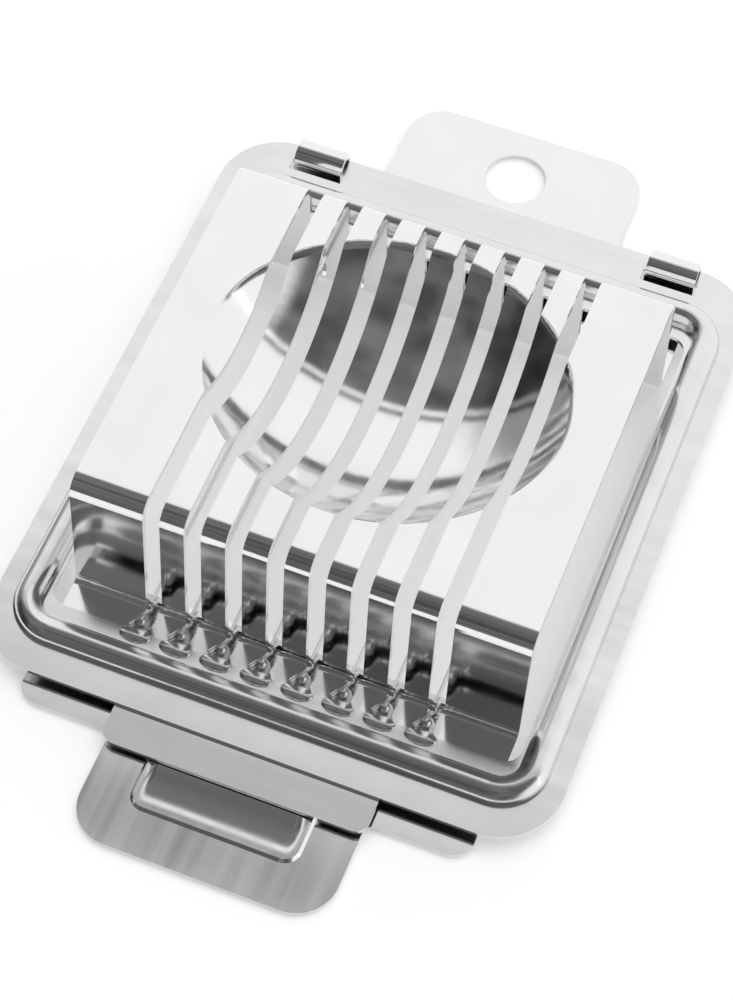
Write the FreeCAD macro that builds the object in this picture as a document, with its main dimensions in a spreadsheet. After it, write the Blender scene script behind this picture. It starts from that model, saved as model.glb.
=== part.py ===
"""Egg slicer of pressed stainless steel: slotted cradle, hinged wire frame and eight cutting wires.

Millimetres, +Z up, +Y towards the hinge. The origin is under the middle of the closed slicer,
on the surface that it stands on. The frame is modelled closed.
"""
import FreeCAD, Part
import Sketcher
import math
import os
import re

SIZES = {
    # whole slicer
    "overall_length": 136.0,
    # cradle: one strip of sheet bent to a hat
    "base_width": 66.8,
    "base_sheet": 0.8,
    "plate_height": 22.8,
    "bridge_setback": 18.9,
    "bridge_length": 60.5,
    "front_lean": 2.0,
    "bend_radius": 2.8,
    "foot_radius": 1.0,
    # egg bowl pressed into the plate
    "bowl_length": 53.0,
    "bowl_width": 46.0,
    "bowl_depth": 12.0,
    "bowl_setback": 32.2,
    "rim_round": 1.5,
    # slots that the wires sink into
    "slot_count": 8,
    "slot_pitch": 6.09,
    "slot_width": 2.5,
    "wire_rest_gap": 0.3,
    # flat front flange and handle
    "flange_past_frame": 3.4,
    "flange_corner": 3.0,
    "handle_past_frame": 19.1,
    "handle_width": 37.7,
    "handle_corner": 6.0,
    "neck_radius": 1.2,
    "panel_width": 25.0,
    "panel_length": 11.5,
    "panel_margin": 6.3,
    "panel_corner": 2.5,
    "panel_rise": 0.5,
    "panel_draft": 40.0,
    # hanging tab behind the hinge
    "tab_width": 38.4,
    "tab_corner": 6.0,
    "hole_diameter": 9.6,
    "hole_margin": 8.95,
    # hinge tongues of the cradle, curled round the rear strip of the frame
    "tongue_offset": 28.8,
    "tongue_width": 7.8,
    "tongue_bend": 0.5,
    "tongue_side_gap": 0.4,
    "tongue_front_gap": 1.0,
    "hinge_strip": 2.7,
    "curl_clearance": 0.25,
    "curl_tail": 60.0,
    # wire frame
    "frame_width": 85.0,
    "frame_length": 100.0,
    "frame_corner": 9.5,
    "frame_sheet": 0.7,
    "frame_height": 2.9,
    "front_rail": 11.3,
    "back_rail": 13.1,
    "opening_gap": 1.55,
    "opening_corner": 2.5,
    "bead_radius": 2.2,
    "bead_inset_front": 6.6,
    "bead_inset_side": 4.9,
    "bead_inset_back": 8.95,
    "bead_corner": 5.0,
    # thumb tab of the frame
    "thumb_width": 39.0,
    "thumb_length": 5.6,
    "thumb_step": 0.4,
    "thumb_drop": 0.2,
    "thumb_corner": 2.0,
    # lugs that hold the wires
    "lug_width": 2.4,
    "lug_length": 2.6,
    "lug_root": 1.0,
    "lug_hole": 1.4,
    "lug_web": 1.1,
    # cutting wires
    "wire_diameter": 0.6,
    "eye_radius": 1.0,
    "twist_length": 2.2,
    "twist_diameter": 1.1,
}

# Places along Y, from the handle's front edge back to the hanging tab's rear edge.
HANDLE_FRONT = "(-overall_length / 2)"
TAB_BACK = "(overall_length / 2)"
FRAME_FRONT = f"({HANDLE_FRONT} + handle_past_frame)"
FRAME_BACK = f"({FRAME_FRONT} + frame_length)"
FLANGE_FRONT = f"({FRAME_FRONT} - flange_past_frame)"
BRIDGE_FRONT = f"({FRAME_FRONT} + bridge_setback)"
BRIDGE_BACK = f"({BRIDGE_FRONT} + bridge_length)"
BOWL_MIDDLE = f"({BRIDGE_FRONT} + bowl_setback)"
OPENING_FRONT = f"({FRAME_FRONT} + front_rail)"
OPENING_BACK = f"({FRAME_BACK} - back_rail)"
FIRST_WIRE = "(-(slot_count - 1) * slot_pitch / 2)"

# The sheet of the frame and the wires share one middle height.
FRAME_MIDDLE = "(frame_height - frame_sheet / 2)"
FRAME_UNDERSIDE = "(frame_height - frame_sheet)"
SLOT_FLOOR = f"({FRAME_MIDDLE} - wire_diameter / 2 - wire_rest_gap)"

# Hinge: the rear strip of the frame turns inside the curled tongues.
HINGE_AXIS = f"({FRAME_BACK} - hinge_strip / 2)"
CURL_INSIDE = "(sqrt((hinge_strip / 2)^2 + (frame_sheet / 2)^2) + curl_clearance)"
CURL_OUTSIDE = f"({CURL_INSIDE} + base_sheet)"
TONGUE_ROOT = f"({HINGE_AXIS} - {CURL_OUTSIDE} - tongue_bend)"

# Bowl: one arc lengthwise, turned about a lengthwise axis above the plate.
BOWL_ARC = "(((bowl_length / 2)^2 + bowl_depth^2) / (2 * bowl_depth))"
BOWL_TURN = "(((bowl_width / 2)^2 + bowl_depth^2) / (2 * bowl_depth))"
BOWL_AXIS = f"(plate_height - bowl_depth + {BOWL_TURN})"
BOWL_ARC_CENTRE = f"(plate_height - bowl_depth + {BOWL_ARC})"

# Wire eyes: the inside of each eye bears on the edges of the web at the lug's tip.
EYE_INSIDE = "(eye_radius - wire_diameter / 2)"
EYE_OUTSIDE = "(eye_radius + wire_diameter / 2)"
EYE_SEAT = f"sqrt({EYE_INSIDE}^2 - (frame_sheet / 2)^2)"
EYE_SHIFT = f"(lug_length - lug_web + {EYE_SEAT})"
EYE_FRONT = f"({OPENING_FRONT} + {EYE_SHIFT})"
EYE_BACK = f"({OPENING_BACK} - {EYE_SHIFT})"

doc = FreeCAD.newDocument("egg_slicer")
sheet = doc.addObject("Spreadsheet::Sheet", "sizes")
for row, (name, value) in enumerate(SIZES.items(), start=1):
    sheet.set(f"A{row}", name)
    sheet.set(f"B{row}", str(value))
    sheet.setAlias(f"B{row}", name)
doc.recompute()

ALIAS = re.compile(r"\b(" + "|".join(SIZES) + r")\b")


def bound(expression):
    """The expression with each size taken from the sheet."""
    return ALIAS.sub(r"sizes.\1", expression)


def number(expression):
    """The present value of an expression of sizes."""
    return float(sheet.evalExpression(bound(expression)))


def new_body(name):
    body = doc.addObject("PartDesign::Body", name)
    body.Label = name
    return body


def new_sketch(body, name, plane, offset=None):
    """A sketch on one of the body's own origin planes, moved along the plane's normal by an offset."""
    sketch = body.newObject("Sketcher::SketchObject", name)
    support = next(item for item in body.Origin.OriginFeatures if item.Role == plane)
    sketch.AttachmentSupport = [(support, "")]
    sketch.MapMode = "FlatFace"
    if offset:
        sketch.setExpression("AttachmentOffset.Base.z", bound(offset))
    return sketch


def dimension(sketch, constraint, expression):
    index = sketch.addConstraint(constraint)
    sketch.setExpression(f"Constraints[{index}]", bound(expression))


def pin(sketch, piece, end, x, y):
    """Fixes one end of a sketch piece at a place given by two expressions."""
    dimension(sketch, Sketcher.Constraint("DistanceX", -1, 1, piece, end, number(x)), x)
    dimension(sketch, Sketcher.Constraint("DistanceY", -1, 1, piece, end, number(y)), y)


def line(x, y):
    """A straight step of an outline to a point."""
    return (x, y, None)


def arc(x, y, radius, centre_x, centre_y, left=True):
    """A round step of an outline to a point, turning left or right about a centre."""
    return (x, y, (radius, centre_x, centre_y, left))


def outline(sketch, *steps):
    """A closed outline of lines and arcs; each step starts where the one before it ended."""
    up = FreeCAD.Vector(0, 0, 1)
    starts = [steps[-1]] + list(steps[:-1])
    ends = []
    for start, stop in zip(starts, steps):
        first = FreeCAD.Vector(number(start[0]), number(start[1]), 0)
        last = FreeCAD.Vector(number(stop[0]), number(stop[1]), 0)
        if stop[2] is None:
            piece = sketch.addGeometry(Part.LineSegment(first, last))
            ends.append((piece, 1, 2))
        else:
            radius, centre_x, centre_y, left = stop[2]
            centre = FreeCAD.Vector(number(centre_x), number(centre_y), 0)
            begin, finish = (first, last) if left else (last, first)
            angles = [math.atan2(point.y - centre.y, point.x - centre.x) for point in (begin, finish)]
            whole = Part.Circle(centre, up, number(radius))
            piece = sketch.addGeometry(Part.ArcOfCircle(whole, angles[0], angles[1]))
            dimension(sketch, Sketcher.Constraint("Radius", piece, number(radius)), radius)
            ends.append((piece, 1, 2) if left else (piece, 2, 1))
    for (before, _, out), (after, into, _) in zip(ends[-1:] + ends[:-1], ends):
        sketch.addConstraint(Sketcher.Constraint("Coincident", before, out, after, into))
    for (piece, _, out), step in zip(ends, steps):
        pin(sketch, piece, out, step[0], step[1])


def rectangle(sketch, width, low, high, middle="0"):
    """A rectangle of a width about a middle line, between two places along Y."""
    left, right = f"({middle}) - ({width}) / 2", f"({middle}) + ({width}) / 2"
    outline(sketch, line(right, low), line(right, high), line(left, high), line(left, low))


def rounded_rectangle(sketch, left, right, low, high, radius):
    """A rectangle with round corners that starts in the middle of its low side."""
    middle = f"(({left}) + ({right})) / 2"
    near, far = f"({left}) + ({radius})", f"({right}) - ({radius})"
    bottom, top = f"({low}) + ({radius})", f"({high}) - ({radius})"
    outline(
        sketch,
        line(far, low),
        arc(right, bottom, radius, far, bottom),
        line(right, top),
        arc(far, high, radius, far, top),
        line(near, high),
        arc(left, top, radius, near, top),
        line(left, bottom),
        arc(near, low, radius, near, bottom),
        line(middle, low),
    )


def circle(sketch, x, y, diameter):
    centre = FreeCAD.Vector(number(x), number(y), 0)
    piece = sketch.addGeometry(Part.Circle(centre, FreeCAD.Vector(0, 0, 1), number(diameter) / 2))
    pin(sketch, piece, 3, x, y)
    dimension(sketch, Sketcher.Constraint("Diameter", piece, number(diameter)), diameter)


def extrude(body, kind, sketch, length, reversed_way=False, symmetric=False, draft=None):
    """A Pad or a Pocket of a sketch; one that changes no volume is an error."""
    before = body.Shape.Volume if body.Tip else 0.0
    feature = body.newObject(f"PartDesign::{kind}", f"{sketch.Name}_{kind.lower()}")
    feature.Profile = sketch
    feature.Reversed = reversed_way
    feature.SideType = "Symmetric" if symmetric else "One side"
    feature.setExpression("Length", bound(length))
    if draft:
        feature.setExpression("TaperAngle", bound(draft))
    doc.recompute()
    change = body.Shape.Volume - before
    if change * (1 if kind == "Pad" else -1) <= 0:
        raise ValueError(f"{feature.Name} changed the volume by {change}")
    return feature


def turn(body, kind, sketch):
    """A Revolution or Groove about the sketch's construction line, a quarter turn to each side."""
    feature = body.newObject(f"PartDesign::{kind}", f"{sketch.Name}_{kind.lower()}")
    feature.Profile = sketch
    feature.ReferenceAxis = (sketch, ["Axis0"])
    feature.Midplane = True
    feature.Angle = 180
    doc.recompute()
    return feature


def row_along_x(body, feature, pitch, count):
    """Repeats a feature along X."""
    pattern = body.newObject("PartDesign::LinearPattern", f"{feature.Name}_row")
    pattern.Originals = [feature]
    pattern.Direction = (feature.Profile[0], ["H_Axis"])
    pattern.setExpression("Length", bound(f"({pitch}) * (({count}) - 1)"))
    pattern.setExpression("Occurrences", bound(count))
    body.Tip = pattern
    doc.recompute()
    return pattern


def both_sides(body, feature):
    """Repeats a feature on the other side of the plane x = 0."""
    mirror = body.newObject("PartDesign::Mirrored", f"{feature.Name}_pair")
    mirror.Originals = [feature]
    plane = next(item for item in body.Origin.OriginFeatures if item.Role == "YZ_Plane")
    mirror.MirrorPlane = (plane, [""])
    body.Tip = mirror
    doc.recompute()
    return mirror


def round_edges(body, name, radius, wanted):
    """A fillet on each edge of the body that the test picks."""
    edges = [f"Edge{i}" for i, edge in enumerate(body.Shape.Edges, start=1) if wanted(edge)]
    base = body.Tip
    fillet = body.newObject("PartDesign::Fillet", name)
    fillet.Base = (base, edges)
    fillet.setExpression("Radius", bound(radius))
    doc.recompute()
    return fillet


def near(first, second):
    return abs(first - second) < 1e-4


def along_x_at(*places):
    """A test for edges parallel to X that pass through given Y and Z places."""
    spots = [(number(y), number(z)) for y, z in places]

    def wanted(edge):
        ends = [vertex.Point for vertex in edge.Vertexes]
        return any(all(near(end.y, y) and near(end.z, z) for end in ends) for y, z in spots)

    return wanted


def upright_at(*places):
    """A test for upright edges at given distances from the plane x = 0 and given Y places."""
    spots = [(number(x), number(y)) for x, y in places]

    def wanted(edge):
        ends = [vertex.Point for vertex in edge.Vertexes]
        upright = not near(ends[0].z, ends[-1].z)
        on_spot = (all(near(abs(end.x), x) and near(end.y, y) for end in ends) for x, y in spots)
        return upright and any(on_spot)

    return wanted


def handle_blank(body):
    """The flat of the front handle, up to the front flange."""
    sketch = new_sketch(body, "handle", "XY_Plane")
    rectangle(sketch, "handle_width", HANDLE_FRONT, FLANGE_FRONT)
    extrude(body, "Pad", sketch, "base_sheet")


def hat_section(body):
    """The bent strip: front flange, leaning front wall, plate, back wall and rear flange."""
    front_foot = f"({BRIDGE_FRONT} - front_lean)"
    sketch = new_sketch(body, "hat", "YZ_Plane")
    outline(
        sketch,
        line(FLANGE_FRONT, "base_sheet"),
        line(FLANGE_FRONT, "0"),
        line(f"{front_foot} + base_sheet", "0"),
        line(f"{BRIDGE_FRONT} + base_sheet", "plate_height - base_sheet"),
        line(f"{BRIDGE_BACK} - base_sheet", "plate_height - base_sheet"),
        line(f"{BRIDGE_BACK} - base_sheet", "0"),
        line(TONGUE_ROOT, "0"),
        line(TONGUE_ROOT, "base_sheet"),
        line(BRIDGE_BACK, "base_sheet"),
        line(BRIDGE_BACK, "plate_height"),
        line(BRIDGE_FRONT, "plate_height"),
        line(front_foot, "base_sheet"),
    )
    extrude(body, "Pad", sketch, "base_width", symmetric=True)
    inner_height = "plate_height - base_sheet"
    outer_bends = along_x_at((BRIDGE_FRONT, "plate_height"), (BRIDGE_BACK, "plate_height"))
    round_edges(body, "outer_bends", "bend_radius", outer_bends)
    inner_front, inner_back = f"{BRIDGE_FRONT} + base_sheet", f"{BRIDGE_BACK} - base_sheet"
    inner_bends = along_x_at((inner_front, inner_height), (inner_back, inner_height))
    round_edges(body, "inner_bends", "bend_radius - base_sheet", inner_bends)
    upper_feet = along_x_at((front_foot, "base_sheet"), (BRIDGE_BACK, "base_sheet"))
    round_edges(body, "upper_feet", "foot_radius", upper_feet)
    lower_feet = along_x_at((f"{front_foot} + base_sheet", "0"), (inner_back, "0"))
    round_edges(body, "lower_feet", "foot_radius + base_sheet", lower_feet)


def bowl_profile(body, name, thickness):
    """Half of the bowl's lengthwise section, from the turning axis down to an arc that ends above the plate."""
    sketch = new_sketch(body, name, "XZ_Plane", f"-{BOWL_MIDDLE}")
    radius = f"({BOWL_ARC} + {thickness})"
    brim = "(plate_height + base_sheet)"
    reach = f"sqrt({radius}^2 - ({BOWL_ARC_CENTRE} - {brim})^2)"
    outline(
        sketch,
        line(f"-{reach}", BOWL_AXIS),
        line(f"-{reach}", brim),
        arc(reach, brim, radius, "0", BOWL_ARC_CENTRE),
        line(reach, BOWL_AXIS),
    )
    start = FreeCAD.Vector(-1, number(BOWL_AXIS), 0)
    stop = FreeCAD.Vector(1, number(BOWL_AXIS), 0)
    axis = sketch.addGeometry(Part.LineSegment(start, stop), True)
    pin(sketch, axis, 1, "-bowl_length / 2", BOWL_AXIS)
    pin(sketch, axis, 2, "bowl_length / 2", BOWL_AXIS)
    return sketch


def egg_bowl(body):
    """The bowl, drawn through the plate with the wall of the sheet, and its round rim."""
    turn(body, "Revolution", bowl_profile(body, "bowl_outside", "base_sheet"))
    trim = new_sketch(body, "above_plate", "XY_Plane", "plate_height")
    past_bowl = f"({BOWL_TURN} + 2 * base_sheet)"
    rectangle(trim, "base_width", f"{BOWL_MIDDLE} - {past_bowl}", f"{BOWL_MIDDLE} + {past_bowl}")
    extrude(body, "Pocket", trim, f"{BOWL_TURN} + {BOWL_AXIS}", reversed_way=True)
    turn(body, "Groove", bowl_profile(body, "bowl_inside", "0"))


def wire_slots(body):
    """Slots through the plate, the bowl and both walls, down to just below the wires."""
    sketch = new_sketch(body, "slot", "XY_Plane", SLOT_FLOOR)
    front, back = f"{BRIDGE_FRONT} - front_lean - foot_radius", f"{BRIDGE_BACK} + foot_radius"
    rectangle(sketch, "slot_width", front, back, FIRST_WIRE)
    slot = extrude(body, "Pocket", sketch, "plate_height", reversed_way=True)
    row_along_x(body, slot, "slot_pitch", "slot_count")


def bowl_rim(body):
    """The round edge from the plate into the bowl, between the slots."""
    plate_height = number("plate_height")

    def rim(edge):
        box = edge.BoundBox
        level = near(box.ZMin, plate_height) and near(box.ZMax, plate_height)
        return level and edge.Curve.TypeId != "Part::GeomLine"

    round_edges(body, "bowl_rim", "rim_round", rim)


def front_edge(body):
    """Round corners of the handle and the flange, and the handle's raised panel, hollow underneath."""
    half = "handle_width / 2"
    round_edges(body, "handle_corners", "handle_corner", upright_at((half, HANDLE_FRONT)))
    round_edges(body, "handle_necks", "neck_radius", upright_at((half, FLANGE_FRONT)))
    round_edges(body, "flange_corners", "flange_corner", upright_at(("base_width / 2", FLANGE_FRONT)))
    panel_front = f"({HANDLE_FRONT} + panel_margin)"
    for name, level, kind in (("panel_top", "base_sheet", "Pad"), ("panel_hollow", None, "Pocket")):
        panel = new_sketch(body, name, "XY_Plane", level)
        side, rear = "panel_width / 2", f"({panel_front} + panel_length)"
        rounded_rectangle(panel, f"-{side}", side, panel_front, rear, "panel_corner")
        extrude(body, kind, panel, "panel_rise", kind == "Pocket", draft="-panel_draft")


def hanging_tab(body):
    """The rear tab with round corners and its hole."""
    sketch = new_sketch(body, "tab", "XY_Plane")
    rectangle(sketch, "tab_width", TONGUE_ROOT, TAB_BACK)
    extrude(body, "Pad", sketch, "base_sheet")
    round_edges(body, "tab_corners", "tab_corner", upright_at(("tab_width / 2", TAB_BACK)))
    hole = new_sketch(body, "hanging_hole", "XY_Plane")
    circle(hole, "0", f"{TAB_BACK} - hole_margin", "hole_diameter")
    extrude(body, "Pocket", hole, "base_sheet", reversed_way=True)


def hinge_tongues(body):
    """Two tongues that rise from the rear flange and curl back over the hinge axis."""
    sketch = new_sketch(body, "tongue", "YZ_Plane", "tongue_offset - tongue_width / 2")
    inside, outside = CURL_INSIDE, CURL_OUTSIDE
    bend_top = "(base_sheet + tongue_bend)"
    tail_y, tail_z = "cos(curl_tail * 1 deg)", "sin(curl_tail * 1 deg)"
    outline(
        sketch,
        line(TONGUE_ROOT, "0"),
        arc(f"{HINGE_AXIS} - {inside}", bend_top, bend_top, TONGUE_ROOT, bend_top),
        line(f"{HINGE_AXIS} - {inside}", FRAME_MIDDLE),
        arc(
            f"{HINGE_AXIS} + {inside} * {tail_y}",
            f"{FRAME_MIDDLE} - {inside} * {tail_z}",
            inside, HINGE_AXIS, FRAME_MIDDLE, left=False,
        ),
        line(f"{HINGE_AXIS} + {outside} * {tail_y}", f"{FRAME_MIDDLE} - {outside} * {tail_z}"),
        arc(f"{HINGE_AXIS} - {outside}", FRAME_MIDDLE, outside, HINGE_AXIS, FRAME_MIDDLE),
        line(f"{HINGE_AXIS} - {outside}", bend_top),
        arc(TONGUE_ROOT, "base_sheet", "tongue_bend", TONGUE_ROOT, bend_top, left=False),
    )
    tongue = extrude(body, "Pad", sketch, "tongue_width")
    both_sides(body, tongue)


def make_cradle():
    body = new_body("base_cradle")
    handle_blank(body)
    hat_section(body)
    egg_bowl(body)
    wire_slots(body)
    bowl_rim(body)
    front_edge(body)
    hanging_tab(body)
    hinge_tongues(body)
    return body


def frame_sheet(body):
    """The flat ring of the frame, open in the middle for the cradle."""
    sketch = new_sketch(body, "ring", "XY_Plane", FRAME_UNDERSIDE)
    half = "frame_width / 2"
    rounded_rectangle(sketch, f"-{half}", half, FRAME_FRONT, FRAME_BACK, "frame_corner")
    opening = "(base_width / 2 + opening_gap)"
    rounded_rectangle(sketch, f"-{opening}", opening, OPENING_FRONT, OPENING_BACK, "opening_corner")
    extrude(body, "Pad", sketch, "frame_sheet")


def stiffening_bead(body):
    """A half-round bead raised all round the ring, hollow underneath."""
    path = new_sketch(body, "bead_path", "XY_Plane", "frame_height")
    side = "(frame_width / 2 - bead_inset_side)"
    front, back = f"({FRAME_FRONT} + bead_inset_front)", f"({FRAME_BACK} - bead_inset_back)"
    rounded_rectangle(path, f"-{side}", side, front, back, "bead_corner")
    inside = "(bead_radius - frame_sheet)"
    solid = new_sketch(body, "bead_outside", "YZ_Plane")
    outline(
        solid,
        line(f"{front} + bead_radius", "frame_height"),
        arc(front, "frame_height + bead_radius", "bead_radius", front, "frame_height"),
        arc(f"{front} - bead_radius", "frame_height", "bead_radius", front, "frame_height"),
    )
    hollow = new_sketch(body, "bead_inside", "YZ_Plane")
    outline(
        hollow,
        line(f"{front} - {inside}", FRAME_UNDERSIDE),
        line(f"{front} + {inside}", FRAME_UNDERSIDE),
        line(f"{front} + {inside}", "frame_height"),
        arc(front, f"frame_height + {inside}", inside, front, "frame_height"),
        arc(f"{front} - {inside}", "frame_height", inside, front, "frame_height"),
    )
    for kind, profile in (("AdditivePipe", solid), ("SubtractivePipe", hollow)):
        pipe = body.newObject(f"PartDesign::{kind}", f"{profile.Name}_pipe")
        pipe.Profile = profile
        pipe.Spine = (path, [])
        doc.recompute()


def thumb_tab(body):
    """The tab at the frame's front edge, one small step lower than the ring and drooping a little."""
    sketch = new_sketch(body, "thumb", "YZ_Plane")
    step_end, tip = f"({FRAME_FRONT} - thumb_step)", f"({FRAME_FRONT} - thumb_length)"
    root = f"({FRAME_FRONT} + frame_sheet)"
    low = "(thumb_step + thumb_drop)"
    outline(
        sketch,
        line(root, "frame_height"),
        line(FRAME_FRONT, "frame_height"),
        line(step_end, "frame_height - thumb_step"),
        line(tip, f"frame_height - {low}"),
        line(tip, f"{FRAME_UNDERSIDE} - {low}"),
        line(step_end, f"{FRAME_UNDERSIDE} - thumb_step"),
        line(FRAME_FRONT, FRAME_UNDERSIDE),
        line(root, FRAME_UNDERSIDE),
    )
    extrude(body, "Pad", sketch, "thumb_width", symmetric=True)
    round_edges(body, "thumb_corners", "thumb_corner", upright_at(("thumb_width / 2", tip)))


def wire_lugs(body):
    """Round-ended lugs on both ends of the opening, each with a hole for a wire's eye."""
    half = "(lug_width / 2)"
    sketch = new_sketch(body, "lug", "XY_Plane", FRAME_UNDERSIDE)
    holes = new_sketch(body, "lug_hole", "XY_Plane", FRAME_UNDERSIDE)
    left, right = f"({FIRST_WIRE} - {half})", f"({FIRST_WIRE} + {half})"
    for edge, way, turns_left in ((OPENING_FRONT, "1", True), (OPENING_BACK, "-1", False)):
        shoulder = f"({edge} + {way} * lug_root)"
        neck = f"({edge} + {way} * (lug_length - {half}))"
        tip = f"({edge} + {way} * lug_length)"
        outline(
            sketch,
            line(f"{right} + lug_root", edge),
            arc(right, shoulder, "lug_root", f"{right} + lug_root", shoulder, not turns_left),
            line(right, neck),
            arc(FIRST_WIRE, tip, half, FIRST_WIRE, neck, turns_left),
            arc(left, neck, half, FIRST_WIRE, neck, turns_left),
            line(left, shoulder),
            arc(f"{left} - lug_root", edge, "lug_root", f"{left} - lug_root", shoulder, not turns_left),
        )
        hole_middle = f"{edge} + {way} * (lug_length - lug_web - lug_hole / 2)"
        circle(holes, FIRST_WIRE, hole_middle, "lug_hole")
    lugs = extrude(body, "Pad", sketch, "frame_sheet")
    row_along_x(body, lugs, "slot_pitch", "slot_count")
    cut = extrude(body, "Pocket", holes, "frame_sheet", reversed_way=True)
    row_along_x(body, cut, "slot_pitch", "slot_count")


def hinge_slots(body):
    """The slots that the cradle's tongues rise through, which leave the rear strip to turn on."""
    sketch = new_sketch(body, "hinge_slot", "XY_Plane", FRAME_UNDERSIDE)
    front, back = f"{HINGE_AXIS} - {CURL_OUTSIDE} - tongue_front_gap", f"{FRAME_BACK} - hinge_strip"
    rectangle(sketch, "tongue_width + 2 * tongue_side_gap", front, back, "tongue_offset")
    slot = extrude(body, "Pocket", sketch, "frame_sheet", reversed_way=True)
    both_sides(body, slot)


def make_frame():
    body = new_body("wire_frame")
    frame_sheet(body)
    stiffening_bead(body)
    thumb_tab(body)
    wire_lugs(body)
    hinge_slots(body)
    return body


def place(item, rotation, x, y):
    """Puts a primitive at the wires' height with its axis turned as given."""
    item.Placement = FreeCAD.Placement(FreeCAD.Vector(), rotation)
    for axis, expression in (("x", x), ("y", y), ("z", FRAME_MIDDLE)):
        item.setExpression(f"Placement.Base.{axis}", bound(expression))
    return item


def rod(name, diameter, x, start, stop):
    """A round rod between two places along Y."""
    cylinder = doc.addObject("Part::Cylinder", name)
    cylinder.setExpression("Radius", bound(f"{diameter} / 2"))
    cylinder.setExpression("Height", bound(f"({stop}) - ({start})"))
    return place(cylinder, FreeCAD.Rotation(FreeCAD.Vector(1, 0, 0), -90), x, start)


def disc(name, radius, x, y):
    """An upright disc as wide as the wire, which stands in the lug's hole."""
    cylinder = doc.addObject("Part::Cylinder", name)
    cylinder.setExpression("Radius", bound(radius))
    cylinder.setExpression("Height", bound("wire_diameter"))
    return place(cylinder, FreeCAD.Rotation(FreeCAD.Vector(0, 1, 0), 90), f"{x} - wire_diameter / 2", y)


def make_wire(index):
    """One cutting wire: a straight run, and at each end a twisted neck and an eye."""
    name = f"wire_{index + 1}"
    x = f"{FIRST_WIRE} + {index} * slot_pitch"
    front, back = f"{EYE_FRONT} + eye_radius", f"{EYE_BACK} - eye_radius"
    whole = doc.addObject("Part::MultiFuse", f"{name}_whole")
    whole.Shapes = [
        rod(f"{name}_run", "wire_diameter", x, front, back),
        rod(f"{name}_front_neck", "twist_diameter", x, front, f"{front} + twist_length"),
        rod(f"{name}_back_neck", "twist_diameter", x, f"{back} - twist_length", back),
        disc(f"{name}_front_eye", EYE_OUTSIDE, x, EYE_FRONT),
        disc(f"{name}_back_eye", EYE_OUTSIDE, x, EYE_BACK),
    ]
    holes = doc.addObject("Part::Compound", f"{name}_holes")
    holes.Links = [
        disc(f"{name}_front_hole", EYE_INSIDE, x, EYE_FRONT),
        disc(f"{name}_back_hole", EYE_INSIDE, x, EYE_BACK),
    ]
    wire = doc.addObject("Part::Cut", name)
    wire.Label = name
    wire.Base = whole
    wire.Tool = holes
    return wire


def make_wires():
    return [make_wire(index) for index in range(int(number("slot_count")))]


sub_parts = [make_cradle(), make_frame()] + make_wires()
doc.recompute()
for item in doc.Objects:
    if "Invalid" in item.State or "Error" in item.State:
        raise RuntimeError(f"{item.Name} is {item.State}")
os.makedirs("parts", exist_ok=True)
for part in sub_parts:
    if part.Shape.isNull() or not part.Shape.isValid():
        raise RuntimeError(f"{part.Label} has no valid shape")
for part in sub_parts:
    part.Shape.exportStep(f"parts/{part.Label}.step")
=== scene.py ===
"""Looks of the egg slicer: polished sheet steel on a white table under a bright studio tent."""
import math

import bmesh
import bpy
from mathutils import Matrix, Vector


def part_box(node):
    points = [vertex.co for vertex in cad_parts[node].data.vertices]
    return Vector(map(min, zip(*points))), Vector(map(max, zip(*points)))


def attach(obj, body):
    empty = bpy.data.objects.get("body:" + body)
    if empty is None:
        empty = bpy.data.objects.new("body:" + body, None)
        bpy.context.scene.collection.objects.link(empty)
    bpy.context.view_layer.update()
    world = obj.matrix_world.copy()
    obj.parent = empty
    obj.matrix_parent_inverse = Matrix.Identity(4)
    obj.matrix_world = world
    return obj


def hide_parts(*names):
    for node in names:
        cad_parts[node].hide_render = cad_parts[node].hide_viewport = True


MM = 0.001

# View: the camera looks at a point on the table near the middle of the slicer.
VIEW_AZIMUTH = math.radians(20.9)
VIEW_ELEVATION = math.radians(58.4)
VIEW_ROLL = math.radians(0.82)
VIEW_DISTANCE = 381.4 * MM
VIEW_TARGET = Vector((-0.1, -4.1, 0.0)) * MM
VIEW_LENS = 94.6

# Studio: a white tent behind and beside the slicer, and in front a dark room with one strip light.
TENT_LIGHT = 1.24
ROOM_DARK = 0.08
ROOM_LIGHT = 0.25
CLUTTER_SCALE = 3.5
CLUTTER_DETAIL = 1.0
STRIP_LIGHT = 1.0
LEFT_LIGHT = 0.3
BACKDROP = 1.0

# Where the light changes: the edge of the room and the strip lie along ROOM_DIRECTION, the sides along X.
ROOM_DIRECTION = Vector((0.0, -0.951, 0.309))
EDGE_START = -0.117
EDGE_END = -0.06
STRIP_START = -0.052
STRIP_LOW = -0.018
STRIP_HIGH = 0.018
STRIP_END = 0.035
SIDE_START = 0.84
SIDE_END = 1.0
SIDE_SHIFT = 0.14
LEFT_START = -0.86
LEFT_END = -0.6

# Table: it glows to the eye and in reflections, and less so close under the slicer.
FLOOR_SIZE = 3.0
FLOOR_GLOW = 0.66
FLOOR_COLOUR = (0.85, 0.85, 0.85, 1.0)
SHADE_REACH = 45 * MM
SHADE_START = 0.3
SHADE_END = 0.85
SHADE_GLOW = 0.36

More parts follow.
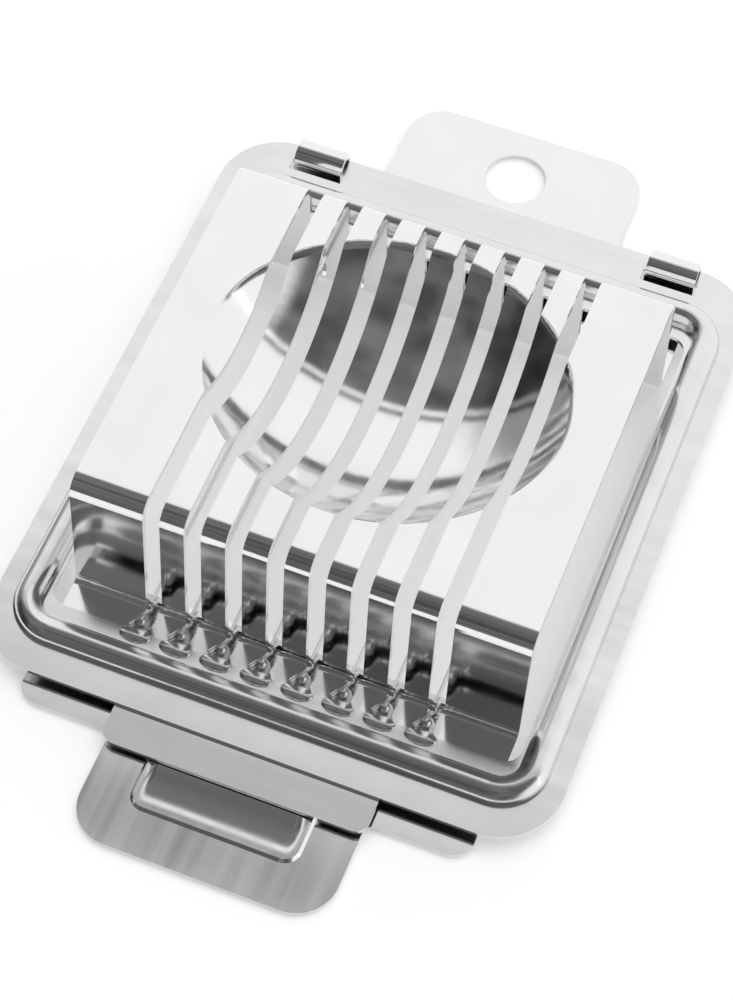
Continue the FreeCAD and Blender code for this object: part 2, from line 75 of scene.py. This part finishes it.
# Steel: the grain's direction, the range of grey, the range of roughness and the strength of the dents.
STEELS = {
    "base_steel": {"grain": (1, 0.03, 1), "greys": (0.86, 0.9), "gloss": (0.09, 0.13), "dents": 0.05},
    "frame_steel": {"grain": (0.03, 1, 1), "greys": (0.78, 0.83), "gloss": (0.14, 0.26), "dents": 0.08},
    "wire_steel": {"grain": (1, 0.03, 1), "greys": (0.7, 0.8), "gloss": (0.1, 0.25), "dents": 0.02},
}
NOISE_LOW = 0.3
NOISE_HIGH = 0.7
EVEN = (1, 1, 1)
CLOUD_SCALE = 90.0
CLOUD_DETAIL = 3.0
GRAIN_SCALE = 400.0
GRAIN_DETAIL = 4.0
DENT_SCALE = 160.0
DENT_DETAIL = 1.0
DENT_DEPTH = 0.2 * MM
SCRATCHES = 0.03
SCRATCH_DEPTH = 0.02 * MM

# Panel: the crowned middle of the raised panel on the handle.
PANEL_SIDE = 11.7 * MM
PANEL_FRONT = -60.8 * MM
PANEL_BACK = -54.9 * MM
PANEL_TOP = 1.3 * MM
PANEL_ROOT = 0.1 * MM
PANEL_CROWN = 0.7 * MM
PANEL_FLANK = 1.4 * MM
PANEL_COLUMNS = 72
PANEL_ROWS = 36
PANEL_CREASE = math.radians(50)

# Wire ends: a wound neck that forks into a beaded strand and a loose tail.
WIRE_RADIUS = 0.3 * MM
WIRE_ROUNDNESS = 3
WIRE_STEPS = 6
WIRE_ORDER = 3
NECK = 0.6 * MM
FORK_SPREAD = 1.5 * MM
FORK_REACH = 2.9 * MM
WINDING_RADIUS = 0.5 * MM
WINDING_PITCH = 0.64 * MM
WINDING_TURNS = 2
WINDING_STEPS = 8

# Ledge under the wire ends: the beads that stand on it and the bumps pressed into its front.
LUG_TOP = 2.9 * MM
KNOB_SETBACK = 1.9 * MM
KNOB_SHAPE = (0.8 * MM, 0.8 * MM, 0.9 * MM)
BUMP_SETBACK = 4.1 * MM
BUMP_SHAPE = (2.4 * MM, 1.25 * MM, 0.55 * MM)
DOME_SEGMENTS = 24
DOME_RINGS = 8


def empty_tree(owner):
    """The cleared node tree of a material or a world."""
    owner.use_nodes = True
    owner.node_tree.nodes.clear()
    return owner.node_tree


def feed(tree, source, socket):
    """Sets a socket to a plain number, or links it to another node's output."""
    if isinstance(source, float):
        socket.default_value = source
    else:
        tree.links.new(source, socket)


def combine(tree, operation, *sources):
    """The result of a math node."""
    node = tree.nodes.new("ShaderNodeMath")
    node.operation = operation
    for source, socket in zip(sources, node.inputs):
        feed(tree, source, socket)
    return node.outputs["Value"]


def mix(tree, share, first, second):
    """The first value where the share is 0, the second where it is 1."""
    node = tree.nodes.new("ShaderNodeMix")
    feed(tree, share, node.inputs["Factor"])
    feed(tree, first, node.inputs["A"])
    feed(tree, second, node.inputs["B"])
    return node.outputs["Result"]


def ramp(tree, source, start, end, low, high, shape):
    """A change from low to high while the source runs from start to end."""
    node = tree.nodes.new("ShaderNodeMapRange")
    node.interpolation_type = shape
    node.inputs["From Min"].default_value = start
    node.inputs["From Max"].default_value = end
    node.inputs["To Min"].default_value = low
    node.inputs["To Max"].default_value = high
    tree.links.new(source, node.inputs["Value"])
    return node.outputs["Result"]


def spread(tree, source, low, high):
    """Maps the middle of a noise to the range from low to high."""
    return ramp(tree, source, NOISE_LOW, NOISE_HIGH, low, high, "LINEAR")


def soft_step(tree, source, start, end, low, high):
    """A smooth change from low to high while the source runs from start to end."""
    return ramp(tree, source, start, end, low, high, "SMOOTHSTEP")


def noise(tree, scale, stretch, detail):
    """Noise in the part's own coordinates, stretched along its axes."""
    place = tree.nodes.new("ShaderNodeTexCoord")
    mapping = tree.nodes.new("ShaderNodeMapping")
    mapping.inputs["Scale"].default_value = stretch
    texture = tree.nodes.new("ShaderNodeTexNoise")
    texture.inputs["Scale"].default_value = scale
    texture.inputs["Detail"].default_value = detail
    tree.links.new(place.outputs["Object"], mapping.inputs["Vector"])
    tree.links.new(mapping.outputs["Vector"], texture.inputs["Vector"])
    return texture.outputs["Fac"]


def bump(tree, height, strength, depth):
    """A bump node over a height."""
    node = tree.nodes.new("ShaderNodeBump")
    node.inputs["Strength"].default_value = strength
    node.inputs["Distance"].default_value = depth
    tree.links.new(height, node.inputs["Height"])
    return node


def polished_steel(name, grain, greys, gloss, dents):
    """Rolled and polished sheet: fine grain lines, cloudy polish and slight dents."""
    material = bpy.data.materials.new(name)
    tree = empty_tree(material)
    shader = tree.nodes.new("ShaderNodeBsdfPrincipled")
    shader.inputs["Metallic"].default_value = 1.0
    output = tree.nodes.new("ShaderNodeOutputMaterial")
    clouds = noise(tree, CLOUD_SCALE, EVEN, CLOUD_DETAIL)
    lines = noise(tree, GRAIN_SCALE, grain, GRAIN_DETAIL)
    tint = tree.nodes.new("ShaderNodeValToRGB")
    for stop, position, grey in zip(tint.color_ramp.elements, (NOISE_LOW, NOISE_HIGH), greys):
        stop.position = position
        stop.color = (grey, grey, grey, 1)
    waves = bump(tree, noise(tree, DENT_SCALE, EVEN, DENT_DETAIL), dents, DENT_DEPTH)
    scratches = bump(tree, lines, SCRATCHES, SCRATCH_DEPTH)
    tree.links.new(clouds, tint.inputs["Fac"])
    tree.links.new(tint.outputs["Color"], shader.inputs["Base Color"])
    tree.links.new(spread(tree, lines, *gloss), shader.inputs["Roughness"])
    tree.links.new(waves.outputs["Normal"], scratches.inputs["Normal"])
    tree.links.new(scratches.outputs["Normal"], shader.inputs["Normal"])
    tree.links.new(shader.outputs["BSDF"], output.inputs["Surface"])
    return material


def dress(item, material):
    """Gives an object one material in the place of those it has."""
    item.data.materials.clear()
    item.data.materials.append(material)


def wire_ends(name):
    """The middle of a wire and the places where its front and back forks begin."""
    low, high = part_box(name)
    eye = high.z - low.z
    return (low + high) / 2, low.y + eye, high.y - eye


def wire_path(x, front, back, height):
    """The strands of one wire: a run beaded at both ends, and at each end a tail wound round it."""
    lift = LUG_TOP + WIRE_RADIUS
    runs, tails = [], []
    for end, way in ((front, 1), (back, -1)):
        ahead = Vector((0, way, 0))
        neck = Vector((x, end, height)) + ahead * NECK
        over = Vector((x, end, lift)) - ahead * NECK
        knob = Vector((x, end, lift)) - ahead * KNOB_SETBACK
        tip = Vector((x - FORK_SPREAD, end, lift)) - ahead * FORK_REACH
        runs.append([knob, over, neck, neck + ahead * NECK])
        tail = [tip, tip.lerp(over, 0.5), over]
        for step in range(WINDING_STEPS * WINDING_TURNS + 1):
            turn = 2 * math.pi * step / WINDING_STEPS
            around = Vector((math.cos(turn), 0, math.sin(turn))) * WINDING_RADIUS
            tail.append(neck + around + ahead * WINDING_PITCH * step / WINDING_STEPS)
        tails.append(tail)
    return [runs[0] + runs[1][::-1], *tails]


def make_wire(name, material):
    """A cutting wire with wound and forked ends, in the place of its plain node."""
    middle, front, back = wire_ends(name)
    curve = bpy.data.curves.new(f"{name}_strands", "CURVE")
    curve.dimensions = "3D"
    curve.bevel_depth = WIRE_RADIUS
    curve.bevel_resolution = WIRE_ROUNDNESS
    curve.resolution_u = WIRE_STEPS
    curve.use_fill_caps = True
    for strand in wire_path(middle.x, front, back, middle.z):
        spline = curve.splines.new("NURBS")
        spline.points.add(len(strand) - 1)
        for point, place in zip(spline.points, strand):
            point.co = (*place, 1)
        spline.order_u = WIRE_ORDER
        spline.use_endpoint_u = True
    wire = bpy.data.objects.new(f"{name}_twisted", curve)
    bpy.context.scene.collection.objects.link(wire)
    dress(wire, material)
    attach(wire, "frame")
    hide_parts(name)


def add_mesh(name, mesh, material):
    """A smooth object from a finished mesh."""
    data = bpy.data.meshes.new(name)
    mesh.to_mesh(data)
    mesh.free()
    data.shade_smooth()
    item = bpy.data.objects.new(name, data)
    bpy.context.scene.collection.objects.link(item)
    dress(item, material)
    return item


def add_dome(mesh, x, y, shape):
    """The upper half of a ball of the given half sizes, on the top of the ledge and closed underneath."""
    place = Matrix.Translation((x, y, LUG_TOP)) @ Matrix.Diagonal((*shape, 1))
    turns = [2 * math.pi * step / DOME_SEGMENTS for step in range(DOME_SEGMENTS)]
    rings = []
    for level in range(DOME_RINGS):
        rise = math.pi / 2 * level / DOME_RINGS
        spots = [(math.cos(turn) * math.cos(rise), math.sin(turn) * math.cos(rise)) for turn in turns]
        rings.append([mesh.verts.new(place @ Vector((*spot, math.sin(rise)))) for spot in spots])
    top = mesh.verts.new(place @ Vector((0, 0, 1)))
    mesh.faces.new(rings[0][::-1])
    for index in range(DOME_SEGMENTS):
        for lower, upper in zip(rings, rings[1:]):
            mesh.faces.new((lower[index - 1], lower[index], upper[index], upper[index - 1]))
        mesh.faces.new((rings[-1][index - 1], rings[-1][index], top))


def make_knobs(names, material):
    """The bead on every wire end and the pressed bumps on the front ledge, all in one mesh."""
    mesh = bmesh.new()
    for name in names:
        middle, front, back = wire_ends(name)
        add_dome(mesh, middle.x, front - KNOB_SETBACK, KNOB_SHAPE)
        add_dome(mesh, middle.x, back + KNOB_SETBACK, KNOB_SHAPE)
        add_dome(mesh, middle.x, front - BUMP_SETBACK, BUMP_SHAPE)
    knobs = add_mesh("wire_knobs", mesh, material)
    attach(knobs, "frame")


def panel_height(x, y):
    """Height of the panel: it rises towards the hinge and rolls off at both sides."""
    along = (y - PANEL_FRONT) / (PANEL_BACK - PANEL_FRONT)
    edge = min(1.0, (PANEL_SIDE - abs(x)) / PANEL_FLANK)
    return PANEL_TOP + PANEL_CROWN * along * along * edge * edge * (3 - 2 * edge)


def open_rim(verts):
    """The open edge of a sheet, in order round its middle, so that each run is the same."""
    rim = [vert for vert in verts if vert.is_boundary]
    middle = sum((vert.co for vert in rim), Vector()) / len(rim)
    return sorted(rim, key=lambda vert: math.atan2(vert.co.y - middle.y, vert.co.x - middle.x))


def make_panel(material):
    """The crowned top of the handle's panel, closed underneath."""
    mesh = bmesh.new()
    bmesh.ops.create_grid(mesh, x_segments=PANEL_COLUMNS, y_segments=PANEL_ROWS, size=0.5)
    for vert in mesh.verts:
        x = 2 * PANEL_SIDE * vert.co.x
        y = PANEL_FRONT + (PANEL_BACK - PANEL_FRONT) * (vert.co.y + 0.5)
        vert.co = (x, y, panel_height(x, y))
    rim = open_rim(mesh.verts)
    foot = [mesh.verts.new((vert.co.x, vert.co.y, PANEL_TOP - PANEL_ROOT)) for vert in rim]
    for index, vert in enumerate(rim):
        mesh.faces.new((rim[index - 1], foot[index - 1], foot[index], vert))
    mesh.faces.new(foot[::-1])
    panel = add_mesh("handle_panel", mesh, material)
    panel.data.set_sharp_from_angle(angle=PANEL_CREASE)
    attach(panel, "cradle")


def make_floor():
    """The table: pale, with a soft shadow, and white to the eye and in reflections."""
    bpy.ops.mesh.primitive_plane_add(size=FLOOR_SIZE)
    floor = bpy.context.object
    floor.name = "table"
    material = bpy.data.materials.new("table_white")
    tree = empty_tree(material)
    surface = tree.nodes.new("ShaderNodeBsdfDiffuse")
    surface.inputs["Color"].default_value = FLOOR_COLOUR
    glow = tree.nodes.new("ShaderNodeEmission")
    both = tree.nodes.new("ShaderNodeAddShader")
    output = tree.nodes.new("ShaderNodeOutputMaterial")
    rays = tree.nodes.new("ShaderNodeLightPath")
    shade = tree.nodes.new("ShaderNodeAmbientOcclusion")
    shade.inputs["Distance"].default_value = SHADE_REACH
    seen = combine(tree, "MAXIMUM", rays.outputs["Is Camera Ray"], rays.outputs["Is Glossy Ray"])
    tone = soft_step(tree, shade.outputs["AO"], SHADE_START, SHADE_END, SHADE_GLOW, FLOOR_GLOW)
    tree.links.new(combine(tree, "MULTIPLY", seen, tone), glow.inputs["Strength"])
    tree.links.new(surface.outputs["BSDF"], both.inputs[0])
    tree.links.new(glow.outputs["Emission"], both.inputs[1])
    tree.links.new(both.outputs["Shader"], output.inputs["Surface"])
    dress(floor, material)


def tent_light(tree):
    """The light from each direction: tent or room, the strip added, and the left side dimmed."""
    place = tree.nodes.new("ShaderNodeTexCoord").outputs["Generated"]
    toward = tree.nodes.new("ShaderNodeVectorMath")
    toward.operation = "DOT_PRODUCT"
    toward.inputs[1].default_value = ROOM_DIRECTION.normalized()
    axes = tree.nodes.new("ShaderNodeSeparateXYZ")
    clutter = tree.nodes.new("ShaderNodeTexNoise")
    clutter.inputs["Scale"].default_value = CLUTTER_SCALE
    clutter.inputs["Detail"].default_value = CLUTTER_DETAIL
    tree.links.new(place, toward.inputs[0])
    tree.links.new(place, axes.inputs["Vector"])
    tree.links.new(place, clutter.inputs["Vector"])
    forward = toward.outputs["Value"]
    sideways = axes.outputs["X"]
    aside = combine(tree, "ABSOLUTE", combine(tree, "ADD", sideways, SIDE_SHIFT))
    ahead = soft_step(tree, forward, EDGE_START, EDGE_END, 0, 1)
    within = soft_step(tree, aside, SIDE_START, SIDE_END, 1, 0)
    room = spread(tree, clutter.outputs["Fac"], ROOM_DARK, ROOM_LIGHT)
    light = mix(tree, combine(tree, "MULTIPLY", ahead, within), TENT_LIGHT, room)
    rise = soft_step(tree, forward, STRIP_START, STRIP_LOW, 0, STRIP_LIGHT)
    fall = soft_step(tree, forward, STRIP_HIGH, STRIP_END, 1, 0)
    lit = combine(tree, "ADD", light, combine(tree, "MULTIPLY", rise, fall))
    left = soft_step(tree, sideways, LEFT_START, LEFT_END, LEFT_LIGHT, 1)
    return combine(tree, "MULTIPLY", lit, left)


def make_tent():
    """The world: bright behind the slicer, a dim cluttered room in front of it, pale to the eye."""
    world = bpy.data.worlds.new("tent")
    bpy.context.scene.world = world
    tree = empty_tree(world)
    rays = tree.nodes.new("ShaderNodeLightPath")
    background = tree.nodes.new("ShaderNodeBackground")
    output = tree.nodes.new("ShaderNodeOutputWorld")
    strength = mix(tree, rays.outputs["Is Camera Ray"], tent_light(tree), BACKDROP)
    tree.links.new(strength, background.inputs["Strength"])
    tree.links.new(background.outputs["Background"], output.inputs["Surface"])


def make_camera():
    """The photograph's view: a camera on a sphere round its target, rolled slightly."""
    data = bpy.data.cameras.new("camera")
    data.lens = VIEW_LENS
    camera = bpy.data.objects.new("camera", data)
    bpy.context.scene.collection.objects.link(camera)
    level = math.cos(VIEW_ELEVATION)
    back = Vector((
        math.sin(VIEW_AZIMUTH) * level,
        -math.cos(VIEW_AZIMUTH) * level,
        math.sin(VIEW_ELEVATION),
    ))
    turn = back.to_track_quat("Z", "Y").to_matrix().to_4x4()
    roll = Matrix.Rotation(VIEW_ROLL, 4, "Z")
    camera.matrix_world = Matrix.Translation(VIEW_TARGET + back * VIEW_DISTANCE) @ turn @ roll
    bpy.context.scene.camera = camera


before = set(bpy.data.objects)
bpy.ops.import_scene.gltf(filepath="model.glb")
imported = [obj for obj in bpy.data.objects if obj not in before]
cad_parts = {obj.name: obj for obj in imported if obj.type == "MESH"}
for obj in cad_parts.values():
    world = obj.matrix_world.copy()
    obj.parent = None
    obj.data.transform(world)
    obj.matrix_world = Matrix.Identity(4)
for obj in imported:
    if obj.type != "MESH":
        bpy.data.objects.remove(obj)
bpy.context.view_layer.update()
bpy.context.scene.view_settings.view_transform = "Standard"

steels = {name: polished_steel(name, **look) for name, look in STEELS.items()}
dress(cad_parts["base_cradle"], steels["base_steel"])
dress(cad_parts["wire_frame"], steels["frame_steel"])
wires = [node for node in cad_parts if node.startswith("wire_") and node != "wire_frame"]
for wire in wires:
    make_wire(wire, steels["wire_steel"])
make_knobs(wires, steels["frame_steel"])
make_panel(steels["base_steel"])

make_floor()
make_tent()
make_camera()
